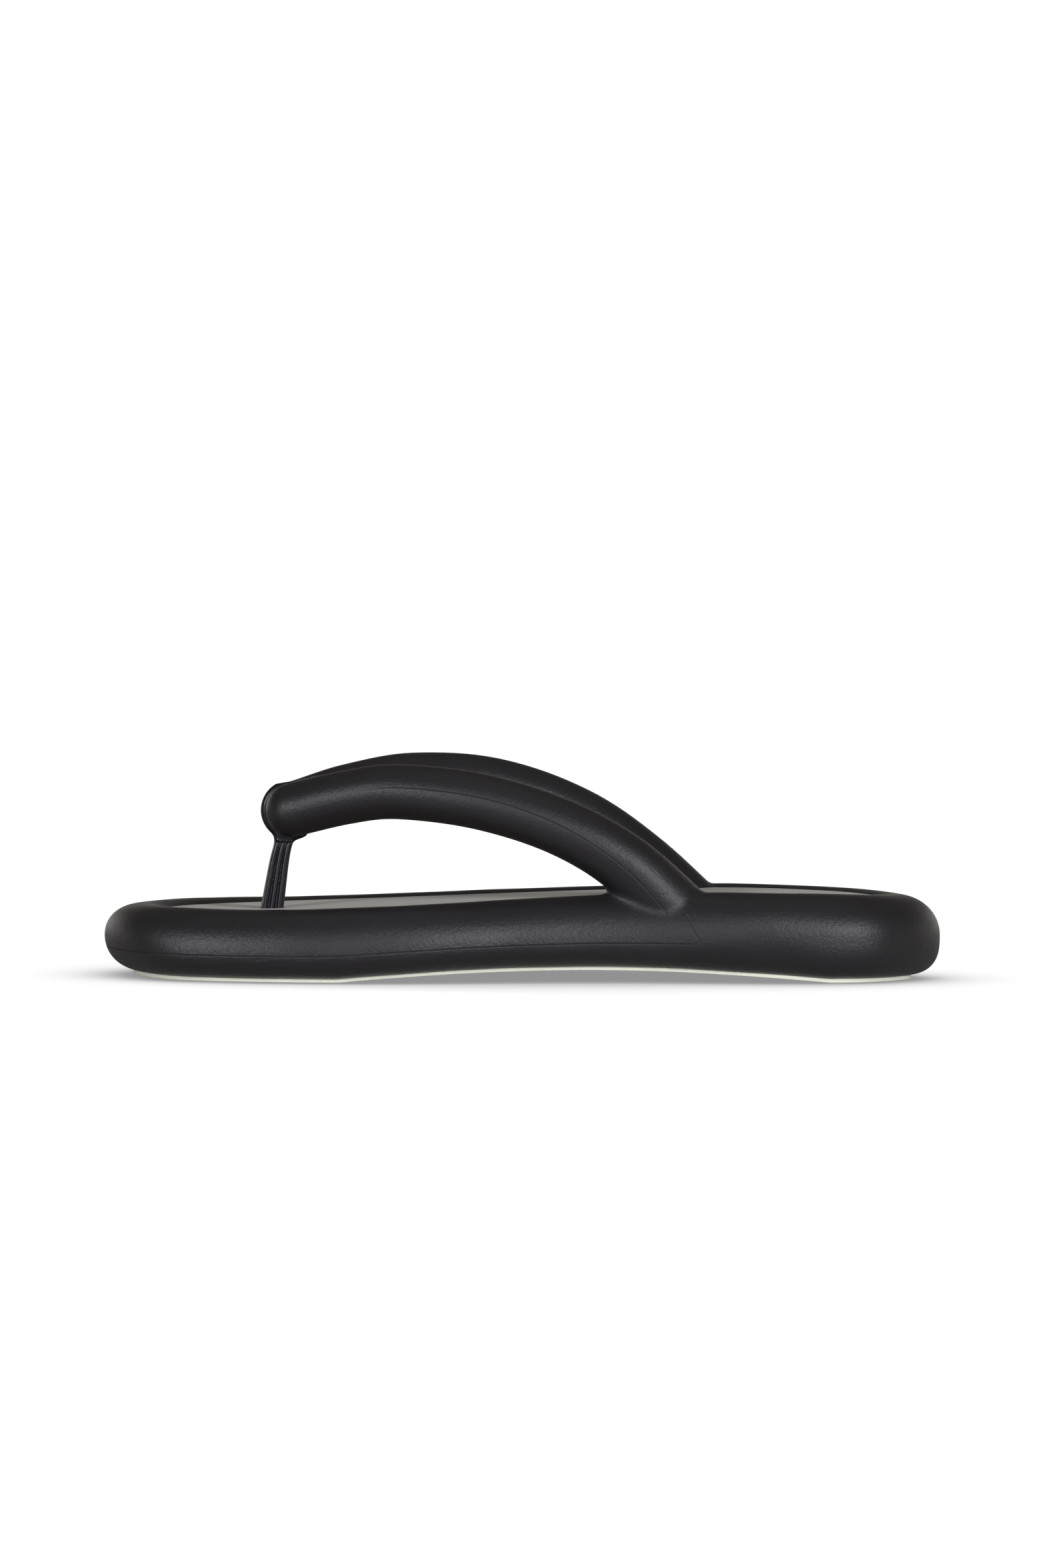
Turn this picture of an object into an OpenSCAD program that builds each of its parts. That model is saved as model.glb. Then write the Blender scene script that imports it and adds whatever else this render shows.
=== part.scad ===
// Thong sandal (flip flop) for a right foot: a tubular rim and two tubular straps moulded in one,
// a filled tray under the foot, a ribbed toe post and a thin outsole.
// Toe towards -X, big-toe side towards -Y, ground at Z = 0.

/* [Overall size] */
// Length from toe to heel
shoe_length = 285; // [270:1:300]
// Width across the ball of the foot
ball_width = 116; // [108:1:124]
// Height of the rim's top at the toe
toe_height = 23.8; // [22:0.2:26]
// Greatest height of the rim's top, in front of the heel
heel_height = 30.5; // [28:0.1:33]
// How far the rim's top falls again towards the very back
heel_drop = 1.7; // [0:0.1:3]
// How much more the rim rises around the toe than the insole does
toe_lip = 0.6; // [0:0.1:1]
// Lift of the sole under the arch
arch_lift = 3.9; // [2:0.1:5]
// Lift of the outsole at the very front
toe_spring = 0.5; // [0:0.1:2]

/* [Rim] */
// Width of the rim tube along the sides, seen from above
rim_width = 24; // [22:0.5:26]
// Width of the rim tube at the toe
rim_toe_width = 26; // [24:0.2:26]
// Width of the rim tube at the heel
rim_heel_width = 29; // [26:0.2:30]
// How far the rim's lowest line stays above the outsole's underside
rim_gap = 1.2; // [1:0.1:2]
// Level of the rim's widest line along the sides, as a share of its height
belly_share = 0.37; // [0.35:0.01:0.5]
// Thickness of the tray floor inside the rim
floor_thick = 3; // [2:0.5:4]

/* [Straps] */
// Thickness of the straps, as a share of the design's
strap_scale = 1; // [0.9:0.02:1.08]
// Height of the strap ends' centre above the ground
strap_end_height = 56.6; // [54:0.2:60]
// Distance of the strap ends' centres from the middle of the toe post
strap_end_spread = 7.6; // [7:0.1:8.5]

/* [Footbed] */
// Distance from the shoe's outline to the edge of the insole, along the sides
insole_inset = 17; // [16:0.5:19]
// Distance from the shoe's outline to the edge of the insole at the toe and the heel
insole_end_inset = 20; // [19.8:0.1:20.4]
// Depth of the insole's surface below the top of the rim
insole_recess = 1.1; // [0.6:0.1:2]
// Thickness of the top sheet
sock_thick = 1.2; // [0.8:0.1:2]
// Thickness of the soft pad under the top sheet
pad_thick = 4; // [3:0.5:5]
// Gap between neighbouring pieces of the footbed
fit_gap = 0.1; // [0.05:0.05:0.3]

/* [Toe post] */
// Distance of the post from the middle of the shoe's length, at the insole
post_x = -85.8; // [-88:0.2:-83]
// Offset of the post towards the big toe
post_y = -8; // [-12:0.5:-4]
// Backward lean of the post, in degrees from upright
post_lean = 9; // [6:0.5:11]
// Radius of the post without its ribs
post_radius = 3.6; // [3:0.1:4]
// Radius of the ribs along the post
rib_radius = 0.7; // [0.4:0.1:0.9]
// Thickness of the plate between the two strap ends
plate_thick = 4.4; // [3.5:0.1:5.5]
// Radius of that plate
plate_radius = 10.4; // [10:0.1:12]
// Radius of the disc that holds the post under the core
anchor_radius = 13; // [11:0.5:14]
// Thickness of that disc
anchor_thick = 2.4; // [2:0.1:3]
// Thickness of the washer on the disc
washer_thick = 1.2; // [0.8:0.1:1.6]

/* [Outsole] */
// Distance from the shoe's outline to the edge of the outsole
outsole_inset = 10; // [9:0.5:11]
// Thickness of the outsole
outsole_thick = 2.4; // [2:0.1:3]
// Depth of the tread channels
tread_depth = 1; // [0.5:0.1:1.4]
// Width of the tread channels
tread_width = 2.4; // [1.5:0.1:3]

/* [Hidden] */

// Stretches of the outsole that lie on the ground, as places along the length
ball_contact = [-105, -62];
heel_contact = [104, 140];
// Where the rim starts and stops rising towards the heel, and where it starts to fall
rise_start = -110;
rise_end = 75;
fall_start = 70;
fall_length = 60;

// Outline of the shoe in plan: x as a part of the length, y as a part of the width
outline_knots = [
  [-0.500, -0.080], [-0.445, -0.365], [-0.300, -0.475], [-0.150, -0.470], [0.000, -0.390],
  [0.140, -0.340], [0.300, -0.350], [0.430, -0.270], [0.500, 0.000], [0.430, 0.285],
  [0.290, 0.375], [0.110, 0.385], [-0.060, 0.440], [-0.220, 0.500], [-0.375, 0.415],
  [-0.465, 0.200]
];
steps_per_knot = 5;
rim_sides = 20;

// Centre lines of the straps, from the toe post to the root in the rim: x, y, z and the tube's radius
inner_strap = [
  [-78.5, post_y - strap_end_spread, strap_end_height, 9.1], [-60, -21, 61.3, 9.1],
  [-42, -25.5, 63.4, 9.3], [-15, -30.5, 60.6, 9.5], [12.7, -32.6, 52.1, 9.6],
  [35, -31, 39.3, 10.3], [53.3, -26.2, 21.3, 11.8]
];
outer_strap = [
  [-78.5, post_y + strap_end_spread, strap_end_height, 9.1], [-60, 7.5, 62.6, 9.1],
  [-38, 17, 66.1, 9.3], [-10, 26.5, 64, 9.5], [18, 31.5, 54, 9.6],
  [40, 32.7, 38.7, 10.3], [58.3, 29.4, 20.3, 11.8]
];
// Place of the plate between the strap ends
plate_x = -79;
steps_per_span = 4;
strap_facets = 24;

// Level of the tray floor's top above the outsole's underside
floor_top = outsole_thick + floor_thick;
// Levels below the rim's top line
sock_bottom = insole_recess + sock_thick;
pad_bottom = sock_bottom + pad_thick;
slot_radius = post_radius + rib_radius + fit_gap;
// How much further in the footbed's edge runs at the toe and the heel
end_extra = insole_end_inset - insole_inset;
// How far the pocket in the rim goes above the insole, so that no thin edge hangs over it
pocket_rise = 0.4;

// A point on a spline through four knots, at t from 0 to 1 between the middle two
function spline(a, b, c, d, t) =
  0.5 * (2 * b + (c - a) * t + (2 * a - 5 * b + 4 * c - d) * t * t
    + (3 * b - a - 3 * c + d) * t * t * t);

// Points of a closed spline; phase shifts them along it, by a part of a step
function closed_spline(knots, steps, phase) =
  let (n = len(knots))
  [
    for (i = [0 : n - 1], s = [0 : steps - 1])
      spline(
        knots[(i + n - 1) % n], knots[i], knots[(i + 1) % n], knots[(i + 2) % n],
        (s + phase) / steps
      )
  ];

// Points of an open spline, which starts and ends at its outer knots
function open_spline(knots, steps) =
  let (
    last = len(knots) - 1,
    before = 2 * knots[0] - knots[1],
    after = 2 * knots[last] - knots[last - 1]
  )
  concat(
    [
      for (i = [0 : last - 1], s = [0 : steps - 1])
        spline(
          i == 0 ? before : knots[i - 1], knots[i], knots[i + 1],
          i == last - 1 ? after : knots[i + 2], s / steps
        )
    ],
    [knots[last]]
  );

// Moves and stretches raw plan points so that they fill the given length and width exactly
function fitted(points) =
  let (
    xs = [for (p = points) p.x],
    ys = [for (p = points) p.y],
    mid = [(max(xs) + min(xs)) / 2, (max(ys) + min(ys)) / 2],
    span = [max(xs) - min(xs), max(ys) - min(ys)]
  )
  [for (p = points) [(p.x - mid.x) / span.x * shoe_length, (p.y - mid.y) / span.y * ball_width]];

function unit(v) = v / norm(v);

// Outward direction at point i of a closed outline that runs anticlockwise
function outward(points, i) =
  let (
    n = len(points),
    along = unit(points[(i + 1) % n] - points[(i + n - 1) % n])
  )
  [along.y, -along.x];

outline = fitted(closed_spline(outline_knots, steps_per_knot, 0));
// The layers use points halfway between the rim's, so that their corners never meet the rim's edges
layer_outline = fitted(closed_spline(outline_knots, steps_per_knot, 0.5));

function smooth(t) =
  let (u = min(1, max(0, t)))
  u * u * (3 - 2 * u);

// How far a place belongs to the toe or the heel, where the rim is wider and the insole stops sooner
function toe_share(x) = smooth((-x - 85) / 25);

function heel_share(x) = smooth((x - 85) / 25);

// The layers' outline moved inwards, by another distance more at the toe and the heel
function inset(distance, more) =
  [
    for (i = [0 : len(layer_outline) - 1])
      let (ends = toe_share(layer_outline[i].x) + heel_share(layer_outline[i].x))
      layer_outline[i] - (distance + more * ends) * outward(layer_outline, i)
  ];

// Height of the rim's top line at a place along the length
function rim_top(x) =
  toe_height + (heel_height - toe_height) * smooth((x - rise_start) / (rise_end - rise_start))
    - heel_drop * pow(max(0, x - fall_start) / fall_length, 2);

// Height of the rim's crest, which leaves the top line around the toe
function crest(x) = rim_top(x) + toe_lip * smooth((-75 - x) / 40);

// Level of the rim's widest line: low along the sides, about half way up at the ends
function belly(x) = belly_share + 0.16 * smooth((-x - 112) / 24) + 0.14 * smooth((x - 45) / 45);

// Height of the outsole's underside at a place along the length
function ground(x) =
  x < ball_contact[0]
    ? toe_spring * pow((ball_contact[0] - x) / (shoe_length / 2 + ball_contact[0] - outsole_inset), 2)
    : x > ball_contact[1] && x < heel_contact[0]
      ? let (u = (x - ball_contact[1]) / (heel_contact[0] - ball_contact[1]))
        4 * arch_lift * u * (1 - u)
      : 0;

// Places along the length where the underside's line changes direction
toe_steps = 4;
arch_steps = 12;
ground_stations = concat(
  [
    for (i = [0 : toe_steps])
      -shoe_length / 2 + i / toe_steps * (ball_contact[0] + shoe_length / 2)
  ],
  [
    for (i = [0 : arch_steps])
      ball_contact[1] + i / arch_steps * (heel_contact[0] - ball_contact[1])
  ],
  [shoe_length / 2]
);
// Places along the length where the top's line changes direction
top_steps = 28;
top_stations = [for (i = [0 : top_steps]) (i / top_steps - 0.5) * shoe_length];

function reversed(list) = [for (i = [len(list) - 1 : -1 : 0]) list[i]];

function ground_line(rise) = [for (x = ground_stations) [x, ground(x) + rise]];

function top_line(fall) = [for (x = top_stations) [x, rim_top(x) - fall]];

// Side profile between a line above the ground line and a line below the rim's top line
function profile(above_ground, below_top) =
  concat(ground_line(above_ground), reversed(top_line(below_top)));

// Side profile of constant thickness above the ground line
function sheet_profile(low, high) = concat(ground_line(low), reversed(ground_line(high)));

// Side profile of constant thickness below the rim's top line
function footbed_profile(upper, lower) = concat(top_line(lower), reversed(top_line(upper)));

// A solid with the inset outline in plan and the given side profile
module slab(distance, side, more = 0) {
  intersection() {
    translate([0, 0, -5])
      linear_extrude(height = heel_height + 15)
        polygon(inset(distance, more));
    rotate([90, 0, 0])
      linear_extrude(height = ball_width + 10, center = true)
        polygon(side);
  }
}

// Tube that follows the outline, with its outer side on the outline
module rim_ring() {
  n = len(outline);
  section_power = 2.15;
  points = [
    for (i = [0 : n - 1], j = [0 : rim_sides - 1])
      let (
        side = outward(outline, i),
        place = outline[i],
        width = rim_width + (rim_toe_width - rim_width) * toe_share(place.x)
          + (rim_heel_width - rim_width) * heel_share(place.x),
        half_width = width / 2,
        centre = place - half_width * side,
        low = ground(centre.x) + rim_gap,
        height = crest(centre.x) - low,
        below = belly(centre.x) * height,
        angle = 360 * j / rim_sides,
        across = half_width * sign(cos(angle)) * pow(abs(cos(angle)), 2 / section_power),
        reach = sin(angle) > 0 ? height - below : below,
        up = reach * sign(sin(angle)) * pow(abs(sin(angle)), 2 / section_power),
        point = centre + across * side
      )
      [point.x, point.y, low + below + up]
  ];
  faces = [
    for (i = [0 : n - 1], j = [0 : rim_sides - 1])
      let (
        a = i * rim_sides + j,
        b = i * rim_sides + (j + 1) % rim_sides,
        c = ((i + 1) % n) * rim_sides + (j + 1) % rim_sides,
        d = ((i + 1) % n) * rim_sides + j
      )
      each [[a, b, c], [a, c, d]]
  ];
  polyhedron(points, faces);
}

// One strap: a chain of balls along its centre line
module strap(knots) {
  path = open_spline(knots, steps_per_span);
  for (i = [0 : len(path) - 2])
    hull()
      for (knot = [path[i], path[i + 1]])
        translate([knot.x, knot.y, knot.z])
          sphere(r = knot[3] * strap_scale, $fn = strap_facets);
}

// Place of the post's foot on the tray floor, from which it leans back to post_x at the insole
post_foot_x = post_x - (rim_top(post_x) - insole_recess - floor_top) * tan(post_lean);

// Places things on the leaning axis of the toe post, with Z = 0 on the tray floor
module on_post() {
  translate([post_foot_x, post_y, floor_top])
    rotate([0, post_lean, 0])
      children();
}

// Plate between the strap ends; extra makes the cut for it
module strap_plate(extra) {
  translate([plate_x, post_y, strap_end_height])
    rotate([90, 0, 0])
      cylinder(r = plate_radius + extra, h = plate_thick + 2 * extra, center = true, $fn = 64);
}

module body_moulding() {
  color([0.13, 0.12, 0.13])
    difference() {
      union() {
        rim_ring();
        slab(outsole_inset + 0.6, sheet_profile(rim_gap + 0.3, floor_top + 1));
        strap(inner_strap);
        strap(outer_strap);
      }
      slab(insole_inset, profile(floor_top, insole_recess - pocket_rise), end_extra);
      slab(outsole_inset, sheet_profile(-6, outsole_thick));
      strap_plate(fit_gap / 2);
    }
}

module midsole_core() {
  color([0.24, 0.23, 0.22])
    difference() {
      slab(insole_inset + fit_gap, profile(floor_top, pad_bottom), end_extra);
      on_post()
        cylinder(r = slot_radius, h = 40, $fn = 48);
      translate([post_foot_x, post_y, floor_top - 1])
        cylinder(r = anchor_radius + 2, h = 1 + anchor_thick + washer_thick + fit_gap, $fn = 64);
    }
}

module footbed_pad() {
  color([0.35, 0.33, 0.31])
    difference() {
      slab(insole_inset + fit_gap, footbed_profile(sock_bottom, pad_bottom), end_extra);
      on_post()
        cylinder(r = slot_radius, h = 40, $fn = 48);
    }
}

module insole_sock() {
  color([0.38, 0.35, 0.32])
    difference() {
      slab(insole_inset + fit_gap, footbed_profile(insole_recess, sock_bottom), end_extra);
      on_post()
        cylinder(r = slot_radius, h = 40, $fn = 48);
    }
}

module toe_post() {
  stem_height = (strap_end_height - floor_top) / cos(post_lean);
  color([0.05, 0.05, 0.05])
    union() {
      translate([post_foot_x, post_y, floor_top])
        cylinder(r = anchor_radius, h = anchor_thick, $fn = 64);
      on_post()
        cylinder(r = post_radius, h = stem_height - 2, $fn = 48);
      on_post()
        for (side = [90, -90], fan = [-40, 0, 40])
          rotate([0, 0, side + fan])
            translate([post_radius, 0, anchor_thick / 2])
              cylinder(r = rib_radius, h = stem_height - 8, $fn = 24);
      strap_plate(0);
    }
}

module post_washer() {
  color([0.62, 0.63, 0.64])
    translate([post_foot_x, post_y, floor_top + anchor_thick])
      difference() {
        cylinder(r = anchor_radius + 1.5, h = washer_thick, $fn = 64);
        translate([0, 0, -1])
          cylinder(r = slot_radius + 1.2, h = washer_thick + 2, $fn = 48);
      }
}

// Channel across the outsole with round ends
module tread_channel(x, half_length) {
  translate([x, 0, -1]) {
    translate([-tread_width / 2, -half_length, 0])
      cube([tread_width, 2 * half_length, 1 + tread_depth]);
    for (side = [-1, 1])
      translate([0, side * half_length, 0])
        cylinder(r = tread_width / 2, h = 1 + tread_depth, $fn = 32);
  }
}

module outsole() {
  channel_pitch = 8;
  color([0.72, 0.75, 0.66])
    difference() {
      slab(outsole_inset, sheet_profile(0, outsole_thick));
      for (x = [ball_contact[0] + channel_pitch / 2 : channel_pitch : ball_contact[1] - 2])
        tread_channel(x, 30);
      for (x = [heel_contact[0] + channel_pitch / 2 : channel_pitch : heel_contact[1] - 15])
        tread_channel(x, 15);
    }
}

body_moulding();
midsole_core();
footbed_pad();
insole_sock();
toe_post();
post_washer();
outsole();
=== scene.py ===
"""Looks for the thong sandal: a black moulded foam rim and straps, a ribbed glossy toe post, a taupe
insole and a pale outsole. Lengths inside the shape functions are millimetres in the CAD frame, and
meshes are made in metres."""
import math

import bmesh
import bpy
import numpy as np
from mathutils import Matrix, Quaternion, Vector


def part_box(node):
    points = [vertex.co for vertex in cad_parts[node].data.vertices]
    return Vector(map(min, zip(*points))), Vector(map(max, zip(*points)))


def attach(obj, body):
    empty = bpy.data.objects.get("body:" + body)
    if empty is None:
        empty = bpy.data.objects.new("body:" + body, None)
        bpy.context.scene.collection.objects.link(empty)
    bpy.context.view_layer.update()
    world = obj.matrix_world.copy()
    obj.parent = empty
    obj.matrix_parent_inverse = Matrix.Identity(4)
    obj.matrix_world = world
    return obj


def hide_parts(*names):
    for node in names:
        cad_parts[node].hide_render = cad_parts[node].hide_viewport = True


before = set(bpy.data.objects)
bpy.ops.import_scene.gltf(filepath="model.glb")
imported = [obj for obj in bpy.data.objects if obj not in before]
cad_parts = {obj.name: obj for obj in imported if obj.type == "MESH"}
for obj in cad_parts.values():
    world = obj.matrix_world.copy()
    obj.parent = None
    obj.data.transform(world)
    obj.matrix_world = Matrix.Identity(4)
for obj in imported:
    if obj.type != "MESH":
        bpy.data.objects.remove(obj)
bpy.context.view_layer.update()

MM = 0.001

# ---------------------------------------------------------------- sizes from the frame

body_low, body_high = [np.array(corner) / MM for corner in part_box("body_moulding")]
sock_low, sock_high = [np.array(corner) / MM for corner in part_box("insole_sock")]
sole_low, sole_high = [np.array(corner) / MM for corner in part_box("outsole")]
post_low, post_high = [np.array(corner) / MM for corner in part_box("toe_post")]
LENGTH = body_high[0] - body_low[0]
WIDTH = body_high[1] - body_low[1]
INSOLE_INSET = (LENGTH - (sock_high[0] - sock_low[0])) / 2
OUTSOLE_INSET = (LENGTH - (sole_high[0] - sole_low[0])) / 2
FLOOR_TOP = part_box("midsole_core")[0][2] / MM
POST_Y = (post_low[1] + post_high[1]) / 2

# ---------------------------------------------------------------- design values, in millimetres

# The rim: its width along the sides, and how much wider it is at the toe and at the heel
RIM_WIDTH = 24.0
RIM_TOE_EXTRA = 2.0
RIM_HEEL_EXTRA = 5.0
# Where the ends take over from the sides: distance from the shoe's middle, and the length it takes
END_START = 85.0
END_SPAN = 25.0
# Level of the rim's widest line as a share of its height, and how much higher it lies at the ends
BELLY = 0.37
BELLY_TOE_EXTRA = 0.16
BELLY_HEEL_EXTRA = 0.14
# Powers of the superellipse that is the rim's section, and their change at the heel
SECTION_POWER = 2.15
UPPER_HEEL_CHANGE = -0.05
LOWER_HEEL_CHANGE = 0.65
# Height of the rim's lowest line above the outsole's underside
RIM_GAP = 1.2

# The footbed's edge inside the outline along the sides, then the layers from the top down
SIDE_INSET = 17.1
INSOLE_RECESS = 1.1
SOCK_THICK = 1.2
PAD_THICK = 4.0
OUTSOLE_THICK = 2.4
FIT_GAP = 0.1

# The upper line: level at the toe, rising between two places to the heel's height, then falling
TOE_HEIGHT = 23.8
HEEL_HEIGHT = sock_high[2] + INSOLE_RECESS
HEEL_DROP = 1.7
RISE_START, RISE_END = -110.0, 75.0
FALL_START, FALL_SPAN = 70.0, 60.0
# The rim's crest above the upper line round the toe, where it starts and the length it takes
TOE_LIP = 0.6
TOE_LIP_START, TOE_LIP_SPAN = -75.0, 40.0
# The underside: where it lies on the floor, and how far it is lifted between and at the toe
BALL_START, BALL_END = -105.0, -62.0
HEEL_CONTACT = 104.0
ARCH_LIFT = 3.9
TOE_SPRING = 0.5

# Outline of the shoe in plan, as parts of its length and width
OUTLINE_KNOTS = np.array([
    (-0.500, -0.080), (-0.445, -0.365), (-0.300, -0.475), (-0.150, -0.470), (0.000, -0.390),
    (0.140, -0.340), (0.300, -0.350), (0.430, -0.270), (0.500, 0.000), (0.430, 0.285),
    (0.290, 0.375), (0.110, 0.385), (-0.060, 0.440), (-0.220, 0.500), (-0.375, 0.415),
    (-0.465, 0.200),
])

# Centre lines of the straps from the toe post to the root in the rim, with the radius as a fourth value
INNER_STRAP = np.array([
    (-78.5, -15.6, 56.7, 9.1), (-60, -21, 61.3, 9.1), (-42, -25.5, 63.4, 9.3), (-15, -30.5, 60.6, 9.5),
    (12.7, -32.6, 52.1, 9.6), (35, -31, 39.3, 10.3), (53.3, -26.2, 21.3, 11.8),
])
OUTER_STRAP = np.array([
    (-78.5, -0.4, 56.7, 9.1), (-60, 7.5, 62.6, 9.1), (-38, 17, 66.1, 9.3), (-10, 26.5, 64, 9.5),
    (18, 31.5, 54, 9.6), (40, 32.7, 38.7, 10.3), (58.3, 29.4, 20.3, 11.8),
])
DOME = INNER_STRAP[0]
# Size of the blend between strap and rim, and how much larger it is on the toe side of a root
ROOT_FILLET = 1.3
ROOT_FILLET_EXTRA = 2.7
# Room round a strap's centre line in which the strap shapes the moulding
STRAP_REACH = 16.0
# Radius of the slot between the strap ends, which holds the toe post's plate
SLOT_RADIUS = 13.0

# ---------------------------------------------------------------- curves and height lines


def spline(a, b, c, d, t):
    """Points between knots b and c of a Catmull-Rom spline."""
    return 0.5 * (2 * b + (c - a) * t + (2 * a - 5 * b + 4 * c - d) * t ** 2
                  + (3 * b - a - 3 * c + d) * t ** 3)


def closed_spline(knots, steps):
    times = (np.arange(steps) / steps)[:, None]
    spans = [spline(knots[i - 1], knots[i], knots[(i + 1) % len(knots)],
                    knots[(i + 2) % len(knots)], times) for i in range(len(knots))]
    return np.concatenate(spans)


def open_spline(knots, steps):
    padded = np.concatenate([[2 * knots[0] - knots[1]], knots, [2 * knots[-1] - knots[-2]]])
    times = (np.arange(steps) / steps)[:, None]
    spans = [spline(*padded[i:i + 4], times) for i in range(len(knots) - 1)]
    return np.concatenate(spans + [knots[-1:]])


def fitted_outline(steps):
    """The shoe's outline, stretched so that it fills the CAD box's length and width exactly."""
    raw = closed_spline(OUTLINE_KNOTS, steps)
    low, high = raw.min(0), raw.max(0)
    centre = (body_low[:2] + body_high[:2]) / 2
    return (raw - (low + high) / 2) / (high - low) * (LENGTH, WIDTH) + centre


def outward(points):
    """Outward unit normals of a closed outline that runs anticlockwise, evened out over a few points."""
    along = np.roll(points, -6, axis=0) - np.roll(points, 6, axis=0)
    along /= np.linalg.norm(along, axis=1)[:, None]
    return np.stack([along[:, 1], -along[:, 0]], axis=1)


OUTLINE = fitted_outline(20)
NORMALS = outward(OUTLINE)


def smooth(t):
    u = np.clip(t, 0, 1)
    return u * u * (3 - 2 * u)


def upper_line(x):
    """Height of the line that the insole follows at a constant distance below."""
    rise = smooth((x - RISE_START) / (RISE_END - RISE_START))
    fall = (np.clip(x - FALL_START, 0, None) / FALL_SPAN) ** 2
    return TOE_HEIGHT + (HEEL_HEIGHT - TOE_HEIGHT) * rise - HEEL_DROP * fall


def rim_top(x):
    """Height of the rim's crest, which rises above the upper line round the toe."""
    return upper_line(x) + TOE_LIP * smooth((TOE_LIP_START - x) / TOE_LIP_SPAN)


def ground(x):
    """Height of the outsole's underside: on the floor at ball and heel, lifted at the toe and between."""
    front = (BALL_START - x) / (LENGTH / 2 + BALL_START - OUTSOLE_INSET)
    across = np.clip((x - BALL_END) / (HEEL_CONTACT - BALL_END), 0, 1)
    return TOE_SPRING * np.clip(front, 0, None) ** 2 + 4 * ARCH_LIFT * across * (1 - across)


def toe_share(x):
    """How far a place belongs to the toe end, where the rim is wider and the insole stops sooner."""
    return smooth((-x - END_START) / END_SPAN)


def heel_share(x):
    return smooth((x - END_START) / END_SPAN)


def rim_width(x):
    return RIM_WIDTH + RIM_TOE_EXTRA * toe_share(x) + RIM_HEEL_EXTRA * heel_share(x)


def belly(x):
    """Level of the rim's widest line as a share of its height: low at the sides, half way at the ends."""
    toe_part = smooth((-x - 112) / 24)
    heel_part = smooth((x - 45) / 45)
    return BELLY + BELLY_TOE_EXTRA * toe_part + BELLY_HEEL_EXTRA * heel_part


def upper_power(x):
    return SECTION_POWER + UPPER_HEEL_CHANGE * heel_share(x)


def lower_power(x):
    return SECTION_POWER + LOWER_HEEL_CHANGE * heel_share(x)


# The footbed's edge inside the outline, for each of the outline's points
END_SHARE = toe_share(OUTLINE[:, 0]) + heel_share(OUTLINE[:, 0])
FOOTBED_EDGE = SIDE_INSET + (INSOLE_INSET - SIDE_INSET) * END_SHARE


# ---------------------------------------------------------------- distance fields


def segment_distance(points, a, b):
    """Distance to a segment, and the place along it from 0 to 1."""
    along = b - a
    t = np.clip(((points - a) @ along) / (along @ along), 0, 1)
    return np.linalg.norm(points - a - t[:, None] * along, axis=1), t


class PlanDepth:
    """Depth inside the outline in plan, from a fine grid: positive inside, negative outside."""

    def __init__(self, step=0.75, margin=9.0):
        self.step = step
        self.low = OUTLINE.min(0) - margin
        count = np.ceil((OUTLINE.max(0) + margin - self.low) / step).astype(int) + 1
        xs = self.low[0] + step * np.arange(count[0])
        ys = self.low[1] + step * np.arange(count[1])
        points = np.stack(np.meshgrid(xs, ys, indexing="ij"), axis=-1).reshape(-1, 2)
        best = np.full(len(points), np.inf)
        inside = np.zeros(len(points), bool)
        for a, b in zip(OUTLINE, np.roll(OUTLINE, -1, axis=0)):
            best = np.minimum(best, segment_distance(points, a, b)[0])
            spans = (a[1] > points[:, 1]) != (b[1] > points[:, 1])
            crossing = a[0] + (points[:, 1] - a[1]) * (b[0] - a[0]) / (b[1] - a[1] or 1e-12)
            inside ^= spans & (points[:, 0] < crossing)
        self.grid = np.where(inside, best, -best).reshape(count)

    def __call__(self, x, y):
        u = np.clip((x - self.low[0]) / self.step, 0, self.grid.shape[0] - 1.001)
        v = np.clip((y - self.low[1]) / self.step, 0, self.grid.shape[1] - 1.001)
        i, j = u.astype(int), v.astype(int)
        s, t = u - i, v - j
        g = self.grid
        return ((g[i, j] * (1 - s) + g[i + 1, j] * s) * (1 - t)
                + (g[i, j + 1] * (1 - s) + g[i + 1, j + 1] * s) * t)


plan_depth = PlanDepth()


def smooth_union(a, b, size):
    h = np.clip(size - np.abs(a - b), 0, None) / size
    return np.minimum(a, b) - h * h * size / 4


def rim_field(points):
    """Distance to the rim tube, whose section is a superellipse as high as the rim there."""
    x, y, z = points.T
    half_width = rim_width(x) / 2
    low = ground(x) + RIM_GAP
    height = rim_top(x) - low
    middle = low + belly(x) * height
    reach = np.where(z > middle, low + height - middle, middle - low)
    power = np.where(z > middle, upper_power(x), lower_power(x))
    u = np.abs(plan_depth(x, y) - half_width) / half_width
    v = np.abs(z - middle) / reach
    level = (u ** power + v ** power + 1e-9) ** (1 / power)
    slope = level ** (1 - power) * np.hypot(u ** (power - 1) / half_width, v ** (power - 1) / reach)
    return np.maximum((level - 1) / np.maximum(slope, 0.02), -half_width)


def tray_field(points):
    """Distance to the slab that closes the rim from below."""
    x, y, z = points.T
    low = ground(x) + RIM_GAP + 0.3
    return np.maximum.reduce([
        OUTSOLE_INSET + 1.5 - plan_depth(x, y), low - z, z - ground(x) - FLOOR_TOP - 1])


def tube_field(points, path):
    """Distance to a tube along path, whose fourth column is the radius."""
    best = np.full(len(points), np.inf)
    for a, b in zip(path[:-1], path[1:]):
        distance, t = segment_distance(points, a[:3], b[:3])
        best = np.minimum(best, distance - a[3] - t * (b[3] - a[3]))
    return best


STRAP_PATHS = [open_spline(knots, 8) for knots in (INNER_STRAP, OUTER_STRAP)]


def near_path(points, path, reach):
    low, high = path[:, :3].min(0) - reach, path[:, :3].max(0) + reach
    return np.all((points > low) & (points < high), axis=1)


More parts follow.
